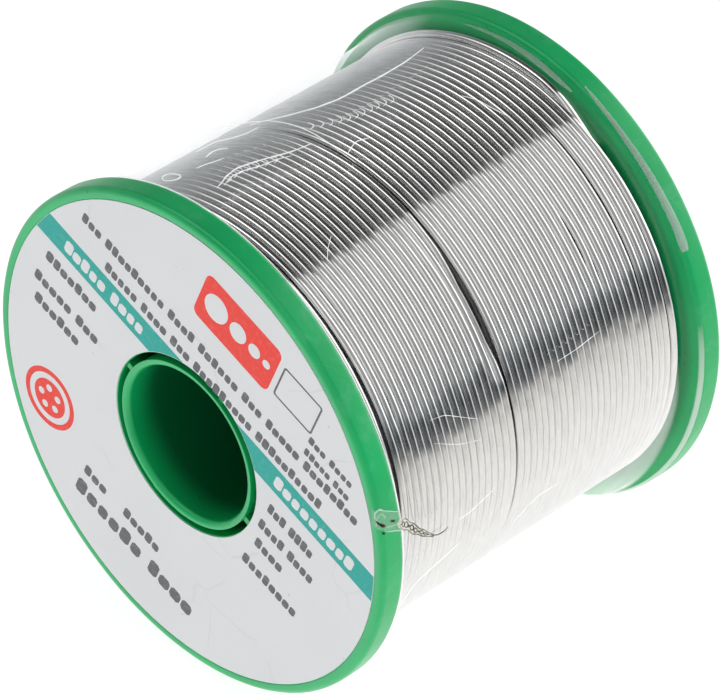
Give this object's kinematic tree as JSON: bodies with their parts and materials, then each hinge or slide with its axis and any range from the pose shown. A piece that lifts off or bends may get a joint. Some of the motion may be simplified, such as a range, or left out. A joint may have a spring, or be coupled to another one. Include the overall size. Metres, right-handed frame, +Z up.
{
  "type": "solder wire spool",
  "caption": "Flanged plastic reel of flux-cored solder wire, with a ribbed bore, a label on one flange and a clear shrink film round the winding.",
  "frame": {"origin": "on the surface that the rims stand on, below the middle of the reel", "axes": "+Z up, Y along the bore, the labelled flange faces -Y"},
  "size_m": [0.065, 0.056, 0.065],
  "materials": {
    "green_plastic": "moulded green styrene, semi-gloss",
    "solder_wire": "drawn tin-silver-copper alloy, bright with a soft grain",
    "flux": "amber rosin",
    "label": "coated white paper with a plain printed design",
    "film": "clear shrink film, glossy with fine wrinkles"
  },
  "bodies": {
    "root": {"front_flange": "green_plastic", "rear_flange": "green_plastic", "barrel": "green_plastic", "bore_tube": "green_plastic", "winding_core": "solder_wire", "outer_turns": "solder_wire", "free_end": "solder_wire", "flux_core": "flux", "front_label": "label", "shrink_film": "film"}
  },
  "joints": []
}
